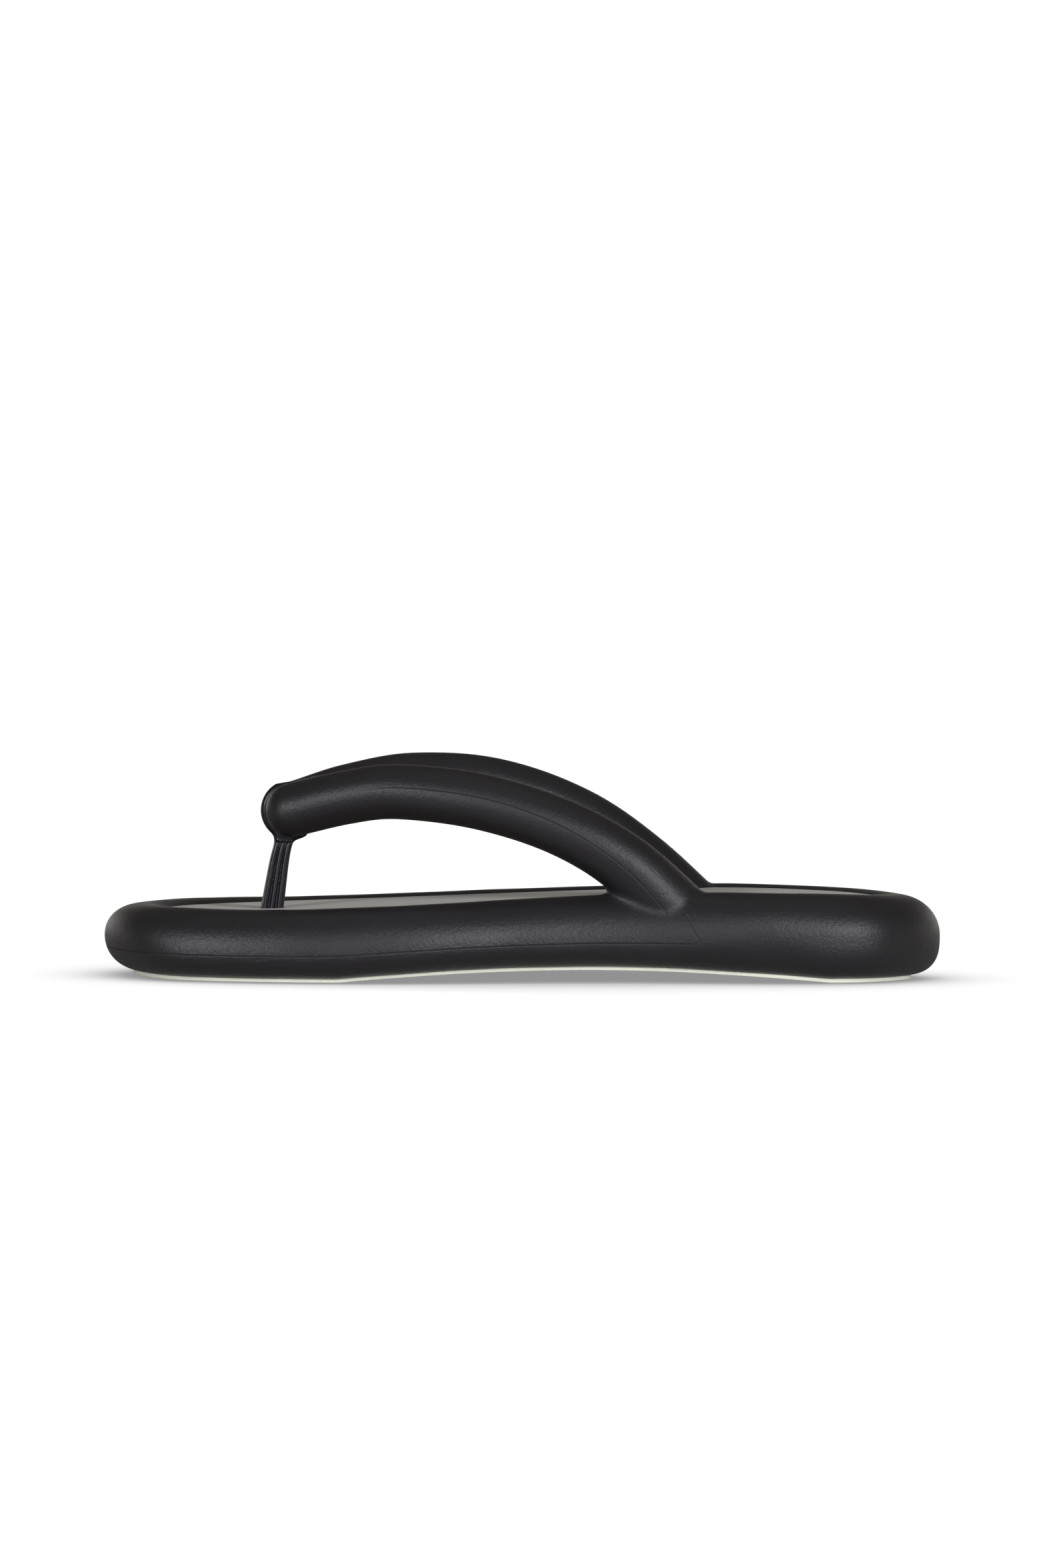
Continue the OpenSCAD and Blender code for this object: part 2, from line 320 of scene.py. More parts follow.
def unevenness(points):
    """The slight waviness that foam keeps from cooling, a tenth of a millimetre deep."""
    x, y, z = points.T
    return 0.05 * (np.sin(x / 6.1 + y / 9.7) * np.sin(z / 5.3 + x / 17)
                   + np.sin(x / 13.7 - y / 7.9 + 1.3) * np.cos(z / 8.1))


def root_fillet(x):
    return ROOT_FILLET + ROOT_FILLET_EXTRA * smooth((46 - x) / 14) * smooth((x - 5) / 10)


def moulding_field(points):
    """Distance to the outside of the body moulding, with the straps blended into the rim."""
    field = np.minimum(rim_field(points), tray_field(points))
    for path in STRAP_PATHS:
        close = near_path(points, path, STRAP_REACH)
        strap = tube_field(points[close], path)
        field[close] = smooth_union(field[close], strap, root_fillet(points[close, 0]))
    return field + unevenness(points)


def near_a_root(points):
    """True where a strap runs into the rim, or where its end lies against the toe post's plate."""
    rim = rim_field(points)
    found = np.linalg.norm(points - (DOME[0], POST_Y, DOME[2]), axis=1) < SLOT_RADIUS
    for path in STRAP_PATHS:
        strap = tube_field(points, path)
        found |= np.maximum(np.abs(rim), np.abs(strap)) < 3.0
    return found


# ---------------------------------------------------------------- meshing a distance field


def grid_points(low, step, shape):
    axes = [low[k] + step * np.arange(shape[k]) for k in range(3)]
    return np.stack(np.meshgrid(*axes, indexing="ij"), axis=-1).reshape(-1, 3)


def surface_nets(field, low, step):
    """Quads round the cells where the sampled field changes sign."""
    solid = field < 0
    cells = tuple(n - 1 for n in field.shape)
    total = np.zeros(cells + (3,))
    count = np.zeros(cells)
    corners = [(i, j, k) for i in (0, 1) for j in (0, 1) for k in (0, 1)]

    def corner(array, c):
        return array[c[0]:c[0] + cells[0], c[1]:c[1] + cells[1], c[2]:c[2] + cells[2]]

    for start in corners:
        for axis in range(3):
            if start[axis]:
                continue
            end = tuple(c + (k == axis) for k, c in enumerate(start))
            f0, f1 = corner(field, start), corner(field, end)
            crossed = corner(solid, start) != corner(solid, end)
            t = np.where(crossed, f0 / np.where(crossed, f0 - f1, 1), 0)
            for k in range(3):
                total[..., k] += crossed * (start[k] + (t if k == axis else 0))
            count += crossed
    active = count > 0
    index = np.full(cells, -1)
    index[active] = np.arange(active.sum())
    places = np.argwhere(active) + total[active] / count[active][:, None]
    quads = []
    for axis in range(3):
        b, c = (axis + 1) % 3, (axis + 2) % 3
        ahead = [slice(None)] * 3
        ahead[axis] = slice(1, None)
        behind = [slice(None)] * 3
        behind[axis] = slice(None, -1)
        change = solid[tuple(behind)].astype(int) - solid[tuple(ahead)]
        edges = np.argwhere(change)
        keep = (edges[:, b] > 0) & (edges[:, c] > 0) & (
            edges[:, b] < field.shape[b] - 1) & (edges[:, c] < field.shape[c] - 1)
        edges = edges[keep]
        forward = change[tuple(edges.T)] > 0
        ring = []
        for db, dc in ((1, 1), (0, 1), (0, 0), (1, 0)):
            cell = edges.copy()
            cell[:, b] -= db
            cell[:, c] -= dc
            ring.append(index[tuple(cell.T)])
        ring = np.stack(ring, axis=1)
        ring[~forward] = ring[~forward][:, ::-1]
        quads.append(ring)
    return places * step + low, np.concatenate(quads)


def gradient(function, points, reach=0.05):
    base = function(points)
    slopes = [(function(points + reach * unit) - base) / reach for unit in np.eye(3)]
    return base, np.stack(slopes, axis=1)


def settle(function, points):
    """Moves points onto the zero surface along its slope."""
    value, slope = gradient(function, points)
    length = np.maximum(np.linalg.norm(slope, axis=1), 0.2)
    shift = np.clip(value / length, -0.8, 0.8)
    normal = slope / length[:, None]
    return points - shift[:, None] * normal, normal


def relax(piece, function, rounds):
    """Evens out the spacing of a piece's points while they stay on the function's zero surface."""
    points = vertex_places(piece)
    pairs = np.zeros(2 * len(piece.data.edges), np.int32)
    piece.data.edges.foreach_get("vertices", pairs)
    a, b = pairs.reshape(-1, 2).T
    degree = np.bincount(pairs, minlength=len(points))[:, None]
    points, normal = settle(function, points)
    for _ in range(rounds):
        total = np.stack([np.bincount(a, points[b, k], len(points))
                          + np.bincount(b, points[a, k], len(points)) for k in range(3)], axis=1)
        step = total / degree - points
        step -= (step * normal).sum(1)[:, None] * normal
        points, normal = settle(function, points + 0.6 * step)
    points = settle(function, points)[0]
    piece.data.vertices.foreach_set("co", (points * MM).astype(np.float32).ravel())
    piece.data.update()


def subdivide_where(piece, wanted):
    """Cuts the faces whose centres are wanted into four."""
    centres = np.zeros(3 * len(piece.data.polygons), np.float32)
    piece.data.polygons.foreach_get("center", centres)
    chosen = wanted(centres.reshape(-1, 3) / MM)
    mesh = bmesh.new()
    mesh.from_mesh(piece.data)
    mesh.faces.ensure_lookup_table()
    edges = {edge for i in np.flatnonzero(chosen) for edge in mesh.faces[i].edges}
    ordered = sorted(edges, key=lambda edge: edge.index)
    bmesh.ops.subdivide_edges(mesh, edges=ordered, cuts=1, use_grid_fill=True)
    mesh.to_mesh(piece.data)
    mesh.free()


def field_mesh(name, function, low, high, step):
    shape = tuple(np.ceil((np.array(high) - low) / step).astype(int) + 1)
    points = grid_points(low, step, shape)
    field = np.concatenate([function(part) for part in np.array_split(points, 24)]).reshape(shape)
    piece = mesh_object(name, *surface_nets(field, np.array(low), step))
    relax(piece, function, 3)
    return piece


# ---------------------------------------------------------------- mesh helpers


def mesh_object(name, points, faces):
    mesh = bpy.data.meshes.new(name)
    mesh.from_pydata((np.asarray(points) * MM).tolist(), [], [list(map(int, f)) for f in faces])
    mesh.validate()
    piece = bpy.data.objects.new(name, mesh)
    bpy.context.scene.collection.objects.link(piece)
    return piece


def vertex_places(piece):
    places = np.zeros(3 * len(piece.data.vertices), np.float32)
    piece.data.vertices.foreach_get("co", places)
    return places.reshape(-1, 3).astype(float) / MM


def apply_modifiers(piece):
    graph = bpy.context.evaluated_depsgraph_get()
    mesh = bpy.data.meshes.new_from_object(piece.evaluated_get(graph))
    piece.modifiers.clear()
    piece.data = mesh


def cut(piece, cutter):
    """Removes the cutter's volume from the piece, and the cutter from the scene."""
    modifier = piece.modifiers.new("cut", "BOOLEAN")
    modifier.operation = "DIFFERENCE"
    modifier.solver = "EXACT"
    modifier.object = cutter
    apply_modifiers(piece)
    bpy.data.objects.remove(cutter)


def shade(piece, degrees=38):
    piece.data.shade_smooth()
    piece.data.set_sharp_from_angle(angle=math.radians(degrees))


def evened(points, rounds=14):
    """A closed line with its corners rounded off."""
    for _ in range(rounds):
        points = (np.roll(points, 1, axis=0) + 2 * points + np.roll(points, -1, axis=0)) / 4
    return points


def contour(distance, height):
    """The outline moved inwards, at the heights that the function gives for its places.

    A distance for each point makes the footbed's edge, which is rounder than the outline.
    """
    points = OUTLINE - np.reshape(distance, (-1, 1)) * NORMALS
    if np.ndim(distance):
        points = evened(points)
    return np.column_stack([points, height(points[:, 0])])


def layered_mesh(name, distance, low, high, radius, cap_rings=14, corner_steps=4):
    """A closed sheet with the inset outline in plan, between two height lines, with round edges."""
    turns = np.linspace(0, math.pi / 2, corner_steps + 1)
    edge = [(radius * (1 - math.sin(t)), lambda x, t=t: low(x) + radius * (1 - math.cos(t)))
            for t in turns]
    edge += [(radius * (1 - math.cos(t)), lambda x, t=t: high(x) - radius * (1 - math.sin(t)))
             for t in turns]
    loops = [contour(distance + inset, height) for inset, height in edge]
    centre = OUTLINE.mean(0)

    def cap(loop, height):
        rings = []
        for share in np.linspace(1, 0, cap_rings + 1)[1:-1]:
            plan = centre + (loop[:, :2] - centre) * share
            rings.append(np.column_stack([plan, height(plan[:, 0])]))
        return rings

    loops = cap(loops[0], low)[::-1] + loops + cap(loops[-1], high)
    count = len(OUTLINE)
    ends = [[*centre, float(low(centre[0]))], [*centre, float(high(centre[0]))]]
    points = np.concatenate(loops + [ends])
    faces = []
    for ring in range(len(loops) - 1):
        for i in range(count):
            j = (i + 1) % count
            faces.append((ring * count + i, ring * count + j, (ring + 1) * count + j,
                          (ring + 1) * count + i))
    bottom, top = len(loops) * count, len(loops) * count + 1
    last = (len(loops) - 1) * count
    for i in range(count):
        j = (i + 1) % count
        faces.append((bottom, j, i))
        faces.append((top, last + i, last + j))
    return mesh_object(name, points, faces)


def prism(name, distance, low, high):
    return layered_mesh(name, distance, low, high, 0.0001, cap_rings=2, corner_steps=1)


def cylinder(radius, depth, place, turn=(0, 0, 0), sides=96):
    bpy.ops.mesh.primitive_cylinder_add(
        vertices=sides, radius=radius * MM, depth=depth * MM, location=Vector(place) * MM,
        rotation=turn)
    return bpy.context.object


# ---------------------------------------------------------------- body moulding


def sock_top(x):
    return upper_line(x) - INSOLE_RECESS


def build_moulding():
    step = 1.12
    margin = 4 * step
    piece = field_mesh("rim_and_straps", moulding_field, body_low - margin,
                       body_high + (margin, margin, margin + 2), step)
    subdivide_where(piece, near_a_root)
    relax(piece, moulding_field, 2)
    cut(piece, prism("pocket", FOOTBED_EDGE - FIT_GAP, lambda x: ground(x) + FLOOR_TOP,
                     lambda x: sock_top(x) + 0.3))
    cut(piece, prism("recess", OUTSOLE_INSET - FIT_GAP, lambda x: ground(x) - 6,
                     lambda x: ground(x) + OUTSOLE_THICK))
    cut(piece, cylinder(SLOT_RADIUS, 2 * PLATE_HALF + FIT_GAP, (DOME[0], POST_Y, DOME[2]),
                        (math.pi / 2, 0, 0)))
    add_seams(piece)
    shade(piece)
    return piece


# The mould's parting line on the rim, as a share of the rim's height, and where it turns up to the strap
SEAM_LEVEL = 0.345
SEAM_TURN = 60.0
SEAM_END = np.array((55.3, 22.7))
# The parting line on a strap: distance above the strap's centre line at places along the length
STRAP_SEAM = np.array([(-40, -1.8), (-6, -1.6), (10, -1.0), (36, 1.2), (56, 2.0)])


def rim_seam_level(x):
    low = ground(x) + RIM_GAP
    return low + SEAM_LEVEL * (rim_top(x) - low)


def strap_seam(points, path, side):
    """Signed distance above a strap's parting line, and how clearly the line shows there."""
    distance = np.full(len(points), np.inf)
    above = np.zeros(len(points))
    for a, b in zip(path[:-1], path[1:]):
        gap = segment_distance(points, a[:3], b[:3])[0]
        along = b[:3] - a[:3]
        up = np.cross(along, (0, -1, 0))
        up /= np.linalg.norm(up)
        closer = gap < distance
        above = np.where(closer, (points - a[:3]) @ up, above)
        distance = np.minimum(distance, gap)
    x = points[:, 0]
    offset = np.interp(x, *STRAP_SEAM.T)
    middle = np.interp(x, path[:, 0], path[:, 1])
    outside = smooth((side * (points[:, 1] - middle) - 2) / 3)
    near_strap = smooth((13 - distance) / 1.5)
    fade = outside * near_strap * smooth((x + 62) / 30) * smooth((SEAM_END[0] - 3 - x) / 4)
    return above - offset, fade


def add_seams(piece):
    """Stores the signed distance to the parting lines, and how clearly they show, on the points."""
    points = vertex_places(piece)
    x, y, z = points.T
    outer = smooth((RIM_WIDTH / 2 - 3 - plan_depth(x, y)) / 3)
    rim_line = z - rim_seam_level(x)
    rim_fade = outer * smooth((SEAM_TURN - x) / 6)
    turn = np.array((SEAM_TURN, rim_seam_level(SEAM_TURN)))
    slant = (SEAM_END - turn) / np.linalg.norm(SEAM_END - turn)
    beside = (x - turn[0]) * slant[1] - (z - turn[1]) * slant[0]
    along = (x - turn[0]) * slant[0] + (z - turn[1]) * slant[1]
    length = np.linalg.norm(SEAM_END - turn)
    slant_fade = outer * smooth(along / 1.2 + 0.5) * smooth((length + 2 - along) / 3)
    wrinkles = outer * smooth((x + 135) / 20) * smooth((-10 - x) / 30) * smooth((1 - rim_line) / 2)
    store(piece, "rim_seam", rim_line, rim_fade, wrinkles)
    store(piece, "slant_seam", beside, slant_fade, 0 * x)
    lines = [strap_seam(points, path, side) for path, side in zip(STRAP_PATHS, (-1, 1))]
    use_outer = y > POST_Y
    store(piece, "strap_seam", *[np.where(use_outer, b, a) for a, b in zip(*lines)], 0 * x)


def store(piece, name, *values):
    attribute = piece.data.attributes.new(name, "FLOAT_VECTOR", "POINT")
    attribute.data.foreach_set("vector", np.stack(values, axis=1).astype(np.float32).ravel())


# ---------------------------------------------------------------- toe post

PLATE_HALF = 2.2
PLATE_FRONT = np.array((-79.3, 56.4))
PLATE_REAR = np.array((-70.0, 61.7))
PLATE_RADIUS = 10.25
PLATE_REAR_RADIUS = 6.4
# Centre line of the post in side view: x, height, half width along x and half width across
POST_KNOTS = np.array([
    (-88.3, FLOOR_TOP - 0.4, 3.9, 3.9), (-85.5, 23.0, 3.85, 3.8), (-83.25, 38.4, 3.35, 3.5),
    (-81.9, 44.6, 3.2, 3.35), (-81.1, 47.4, 3.9, 3.0), (-80.6, 50.5, 4.6, 2.2),
])
POST_PATH = open_spline(POST_KNOTS, 8)
RIB_END = 45.4
ANCHOR_RADIUS = 13.0
ANCHOR_THICK = 2.4


def box_distance(u, v, half_u, half_v, corner):
    """Distance in a plane to a rectangle with round corners."""
    du, dv = np.abs(u) - half_u + corner, np.abs(v) - half_v + corner
    outside = np.hypot(np.clip(du, 0, None), np.clip(dv, 0, None))
    return outside + np.minimum(np.maximum(du, dv), 0) - corner


def stem_field(points):
    """Distance to the leaning post, a rounded bar with three ribs on each side face."""
    x, y, z = points.T
    heights = POST_PATH[:, 1]
    centre = np.interp(z, heights, POST_PATH[:, 0])
    half_x = np.interp(z, heights, POST_PATH[:, 2])
    half_y = np.interp(z, heights, POST_PATH[:, 3])
    u, v = x - centre, y - POST_Y
    bar = box_distance(u, v, half_x, half_y - 0.8, 1.7)
    sink = 1.3 * smooth((z - RIB_END) / 0.9)
    for place in (-0.62, 0.0, 0.62):
        rib = np.hypot(u - place * half_x, np.abs(v) - half_y + 0.92 + sink) - 0.92
        bar = smooth_union(bar, rib, 0.3)
    return np.maximum(bar, np.maximum(heights[0] - z, z - heights[-1]))


def plate_field(points):
    """Distance to the plate between the strap ends, a thick sheet with a round edge."""
    reach, t = segment_distance(points[:, [0, 2]], PLATE_FRONT, PLATE_REAR)
    profile = reach - PLATE_RADIUS - (PLATE_REAR_RADIUS - PLATE_RADIUS) * t
    edge = 1.6
    across = np.abs(points[:, 1] - POST_Y) - PLATE_HALF + edge
    along = profile + edge
    return (np.hypot(np.clip(along, 0, None), np.clip(across, 0, None))
            + np.minimum(np.maximum(along, across), 0) - edge)


def anchor_field(points):
    x, y, z = points.T
    reach = np.hypot(x - POST_KNOTS[0, 0], y - POST_Y)
    return box_distance(reach, z - FLOOR_TOP - ANCHOR_THICK / 2, ANCHOR_RADIUS, ANCHOR_THICK / 2, 0.8)


def post_field(points):
    head = smooth_union(stem_field(points), plate_field(points), 1.4)
    return smooth_union(head, anchor_field(points), 1.5)


def build_post():
    piece = field_mesh("ribbed_toe_post", post_field, post_low - 2, post_high + (4, 2, 2),
                       0.27)
    shade(piece, 60)
    return piece


HOLE_RADIUS = 4.4
HOLE_LEVEL = 24.0
POST_LEAN = math.radians(9)


def post_hole():
    """A leaning bar slightly thicker than the post, for its hole in the layers."""
    middle = np.interp(HOLE_LEVEL, POST_PATH[:, 1], POST_PATH[:, 0])
    return cylinder(HOLE_RADIUS, 50, (middle, POST_Y, HOLE_LEVEL), (0, POST_LEAN, 0), 64)


# ---------------------------------------------------------------- footbed and outsole


def build_sock():
    piece = layered_mesh("insole_sheet", FOOTBED_EDGE + FIT_GAP, lambda x: sock_top(x) - SOCK_THICK,
                         sock_top, 0.4, cap_rings=60)
    cut(piece, post_hole())
    shade(piece)
    return piece


def build_pad():
    piece = layered_mesh("footbed_foam", FOOTBED_EDGE + FIT_GAP,
                         lambda x: sock_top(x) - SOCK_THICK - PAD_THICK,
                         lambda x: sock_top(x) - SOCK_THICK, 0.5)
    cut(piece, post_hole())
    shade(piece)
    return piece


def build_core():
    piece = layered_mesh("core_block", FOOTBED_EDGE + FIT_GAP, lambda x: ground(x) + FLOOR_TOP,
                         lambda x: sock_top(x) - SOCK_THICK - PAD_THICK, 0.8)
    cut(piece, post_hole())
    washer_low, washer_high = [np.array(corner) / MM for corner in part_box("post_washer")]
    middle = (washer_low + washer_high) / 2
    ceiling = washer_high[2] + FIT_GAP
    cut(piece, cylinder((washer_high[0] - washer_low[0]) / 2 + 0.5, ceiling - FLOOR_TOP + 2,
                        (middle[0], middle[1], (ceiling + FLOOR_TOP - 2) / 2)))
    shade(piece)
    return piece


TREAD_PITCH = 8.0
TREAD_WIDTH = 2.4
TREAD_DEPTH = 1.0
FOREFOOT_HALF_LENGTH = 30
HEEL_HALF_LENGTH = 15
HEEL_TREAD_END = 125


def tread_channel(x, half_length):
    """Outline of one channel across the outsole, a slot with round ends."""
    turns = np.linspace(0, math.pi, 13)
    cap = np.stack([np.cos(turns), np.sin(turns)], axis=1) * TREAD_WIDTH / 2
    return np.concatenate([cap + (0, half_length), -cap - (0, half_length)]) + (x, 0)


def tread_cutter():
    """All the channels as upright bars that reach from below the floor to the channels' depth."""
    mesh = bmesh.new()
    forefoot = np.arange(BALL_START + TREAD_PITCH / 2, BALL_END - 2, TREAD_PITCH)
    heel = np.arange(HEEL_CONTACT + TREAD_PITCH / 2, HEEL_TREAD_END, TREAD_PITCH)
    channels = [(x, FOREFOOT_HALF_LENGTH) for x in forefoot] + [(x, HEEL_HALF_LENGTH) for x in heel]
    for x, half_length in channels:
        ring = tread_channel(x, half_length) * MM
        low = [mesh.verts.new((px, py, -2 * MM)) for px, py in ring]
        high = [mesh.verts.new((px, py, TREAD_DEPTH * MM)) for px, py in ring]
        mesh.faces.new(low[::-1])
        mesh.faces.new(high)
        for i in range(len(ring)):
            j = (i + 1) % len(ring)
            mesh.faces.new((low[i], low[j], high[j], high[i]))
    data = bpy.data.meshes.new("tread_cutter")
    mesh.to_mesh(data)
    mesh.free()
    cutter = bpy.data.objects.new("tread_cutter", data)
    bpy.context.scene.collection.objects.link(cutter)
    return cutter


def build_outsole():
    piece = layered_mesh("tread_sheet", OUTSOLE_INSET, ground, lambda x: ground(x) + OUTSOLE_THICK,
                         0.35, cap_rings=40)
    cut(piece, tread_cutter())
    shade(piece)
    return piece


# ---------------------------------------------------------------- material helpers


class Nodes:
    """A node tree under construction. Sockets are passed about; numbers become default values."""

    def __init__(self, tree):
        self.nodes = tree.nodes
        self.links = tree.links

    def put(self, socket, value):
        if isinstance(value, bpy.types.NodeSocket):
            self.links.new(value, socket)
        else:
            socket.default_value = value

    def math(self, operation, a, b=0.0, clamp=False):
        node = self.nodes.new("ShaderNodeMath")
        node.operation = operation
        node.use_clamp = clamp
        self.put(node.inputs[0], a)
        self.put(node.inputs[1], b)
        return node.outputs[0]

    def ramp(self, value, low, high, start=0.0, end=1.0):
        """Maps value from start..end to low..high, and holds it there outside."""
        node = self.nodes.new("ShaderNodeMapRange")
        self.put(node.inputs["Value"], value)
        for name, number in (("From Min", start), ("From Max", end), ("To Min", low), ("To Max", high)):
            self.put(node.inputs[name], number)
        return node.outputs[0]

    def mix(self, factor, a, b):
        """Colour a where factor is 0 and b where it is 1."""
        node = self.nodes.new("ShaderNodeMix")
        node.data_type = "RGBA"
        self.put(node.inputs["Factor"], factor)
        self.put(node.inputs["A"], (*a, 1) if isinstance(a, tuple) else a)
        self.put(node.inputs["B"], (*b, 1) if isinstance(b, tuple) else b)
        return node.outputs["Result"]


class Surface(Nodes):
    """A node material, with textures that are placed in the object's own space."""

    def __init__(self, name):
        self.material = bpy.data.materials.new(name)
        self.material.use_nodes = True
        super().__init__(self.material.node_tree)
        self.shader = self.nodes["Principled BSDF"]
        self.place = self.nodes.new("ShaderNodeTexCoord").outputs["Object"]

    def shader_input(self, name, value):
        self.put(self.shader.inputs[name], value)

    def scaled(self, factors):
        """The object place in millimetres, stretched by a factor for each axis."""
        node = self.nodes.new("ShaderNodeVectorMath")
        node.operation = "MULTIPLY"
        self.put(node.inputs[0], self.place)
        node.inputs[1].default_value = [factor / MM for factor in factors]
        return node.outputs[0]

    def noise(self, size, detail=2.0, stretch=(1, 1, 1), distortion=0.0):
        """Noise from 0 to 1 with features about size millimetres across."""
        node = self.nodes.new("ShaderNodeTexNoise")
        node.inputs["Scale"].default_value = 1.0
        node.inputs["Detail"].default_value = detail
        node.inputs["Distortion"].default_value = distortion
        self.put(node.inputs["Vector"], self.scaled([factor / size for factor in stretch]))
        return node.outputs["Fac"]

    def cells(self, size, feature="F1"):
        """Distance from the middle of cells about size millimetres across."""
        node = self.nodes.new("ShaderNodeTexVoronoi")
        node.feature = feature
        node.inputs["Scale"].default_value = 1.0
        self.put(node.inputs["Vector"], self.scaled([1 / size] * 3))
        return node.outputs["Distance"]

    def attribute(self, name):
        """The three values stored on the points under a name."""
        source = self.nodes.new("ShaderNodeAttribute")
        source.attribute_name = name
        split = self.nodes.new("ShaderNodeSeparateXYZ")
        self.links.new(source.outputs["Vector"], split.inputs[0])
        return split.outputs

    def bump(self, layers):
        """Bump from (height, depth in millimetres) layers."""
        total = 0.0
        for height, depth in layers:
            total = self.math("ADD", total, self.math("MULTIPLY", height, depth * MM))
        node = self.nodes.new("ShaderNodeBump")
        node.inputs["Strength"].default_value = 1.0
        node.inputs["Distance"].default_value = 1.0
        self.put(node.inputs["Height"], total)
        self.put(self.shader.inputs["Normal"], node.outputs[0])


def hairline(surface, seam, width):
    """1 on a stored line and 0 away from it, times how clearly the line shows."""
    distance, fade, _ = seam
    ratio = surface.math("DIVIDE", distance, width)
    fall = surface.math("MULTIPLY", surface.math("MULTIPLY", ratio, ratio), -1.0)
    return surface.math("MULTIPLY", surface.math("EXPONENT", fall), fade)


# ---------------------------------------------------------------- materials


def moulded_foam():
    """Matte black foam with a blasted grain, the mould's parting line and flow wrinkles below it."""
    s = Surface("moulded_foam")
    rim, slant, strap = [s.attribute(name) for name in ("rim_seam", "slant_seam", "strap_seam")]
    line = s.math("MAXIMUM", hairline(s, rim, 0.24), hairline(s, slant, 0.2))
    line = s.math("MAXIMUM", line, hairline(s, strap, 0.18), clamp=True)
    cloud = s.noise(34, detail=3)
    grain = s.noise(0.42, detail=3)
    speck = s.ramp(s.cells(2.9), 1.0, 0.0, 0.035, 0.05)
    chosen = s.ramp(s.noise(5.3, detail=0), 0.0, 1.0, 0.60, 0.64)
    dust = s.math("MULTIPLY", speck, chosen)
    colour = s.mix(cloud, (0.0105, 0.0099, 0.0110), (0.0148, 0.0138, 0.0150))
    colour = s.mix(s.math("MULTIPLY", line, 0.65), colour, (0.003, 0.003, 0.003))
    colour = s.mix(s.math("MULTIPLY", dust, 0.5), colour, (0.20, 0.18, 0.15))
    s.shader_input("Base Color", colour)
    rough = s.ramp(cloud, 0.41, 0.46, 0.3, 0.7)
    s.shader_input("Roughness", s.math("ADD", rough, s.math("MULTIPLY", line, 0.3)))
    s.shader_input("Specular IOR Level", 0.42)
    folds = s.noise(1.5, detail=2, stretch=(0.22, 0.5, 1.3), distortion=1.2)
    s.bump([(grain, 0.085), (s.noise(1.1, detail=2), 0.1), (s.noise(2.4, detail=2), 0.07), (line, -0.1),
            (s.math("MULTIPLY", folds, rim[2]), 0.16), (dust, 0.02)])
    return s.material


def gloss_rubber():
    """Glossy black elastomer with faint flow lines along the post."""
    s = Surface("gloss_post")
    cloud = s.noise(9, detail=3)
    flow = s.noise(0.9, detail=2, stretch=(1, 1, 0.05))
    s.shader_input("Base Color", s.mix(cloud, (0.006, 0.006, 0.009), (0.011, 0.011, 0.015)))
    s.shader_input("Roughness", s.ramp(flow, 0.27, 0.33, 0.3, 0.7))
    s.shader_input("Specular IOR Level", 0.34)
    s.bump([(flow, 0.004), (s.noise(0.35, detail=1), 0.002)])
    return s.material


def insole_sheet():
    """Matte taupe sheet with fine lengthwise streaks and a soft nap."""
    s = Surface("insole_sheet")
    streak = s.noise(0.8, detail=4, stretch=(0.035, 1, 1))
    cloud = s.noise(24, detail=3)
    fleck = s.noise(0.5, detail=2)
    colour = s.mix(streak, (0.200, 0.172, 0.118), (0.275, 0.238, 0.168))
    colour = s.mix(s.math("MULTIPLY", cloud, 0.35), colour, (0.165, 0.143, 0.108))
    s.shader_input("Base Color", s.mix(s.math("MULTIPLY", fleck, 0.18), colour, (0.31, 0.28, 0.22)))
    s.shader_input("Roughness", s.ramp(streak, 0.55, 0.72, 0.3, 0.7))
    s.shader_input("Specular IOR Level", 0.42)
    s.shader_input("Sheen Weight", 0.15)
    s.shader_input("Sheen Roughness", 0.5)
    s.bump([(streak, 0.05), (fleck, 0.05), (cloud, 0.2)])
    return s.material


def cell_foam(name, hollow_shade, light, size):
    """Cut foam: round open cells whose middles carry painted shade in the hollows, with light walls
    between them.
    """
    s = Surface(name)
    wall = s.cells(size)
    cloud = s.noise(15, detail=2)
    # Painted shade: the colour is darkest in each cell's middle, where the hollow is, and lighter on the
    # walls
    s.shader_input("Base Color", s.mix(s.math("MULTIPLY", wall, cloud), hollow_shade, light))
    s.shader_input("Roughness", s.ramp(wall, 0.95, 0.75, 0.0, 0.8))
    s.bump([(wall, 0.35 * size), (s.noise(size / 3, detail=2), 0.1 * size)])
    return s.material


def brushed_steel():
    """Steel with fine turned rings and a few stains."""
    s = Surface("washer_steel")
    brush = s.noise(0.3, detail=3, stretch=(0.05, 1, 1))
    stain = s.noise(6, detail=3)
    s.shader_input("Base Color", s.mix(stain, (0.46, 0.46, 0.47), (0.62, 0.62, 0.61)))
    s.shader_input("Metallic", 1.0)
    s.shader_input("Roughness", s.ramp(brush, 0.22, 0.42, 0.3, 0.7))
    s.bump([(brush, 0.02)])
    return s.material


def outsole_rubber():
    """Pale green-white rubber with a pebbled skin and a little dirt in its hollows."""
    s = Surface("outsole_rubber")
    pebble = s.cells(0.9, feature="SMOOTH_F1")
    cloud = s.noise(18, detail=4)
    dirt = s.ramp(s.math("ADD", cloud, s.math("MULTIPLY", pebble, 0.3)), 0.0, 0.5, 0.62, 0.95)
    colour = s.mix(cloud, (0.70, 0.74, 0.60), (0.80, 0.83, 0.70))
    s.shader_input("Base Color", s.mix(dirt, colour, (0.55, 0.54, 0.45)))
    s.shader_input("Roughness", s.ramp(cloud, 0.5, 0.68, 0.3, 0.7))
    s.bump([(pebble, 0.09), (s.noise(0.3, detail=1), 0.02)])
    return s.material


def dress(piece, surface, node):
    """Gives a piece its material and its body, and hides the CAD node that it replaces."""
    piece.data.materials.clear()
    piece.data.materials.append(surface)
    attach(piece, "root")
    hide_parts(node)


# ---------------------------------------------------------------- stage


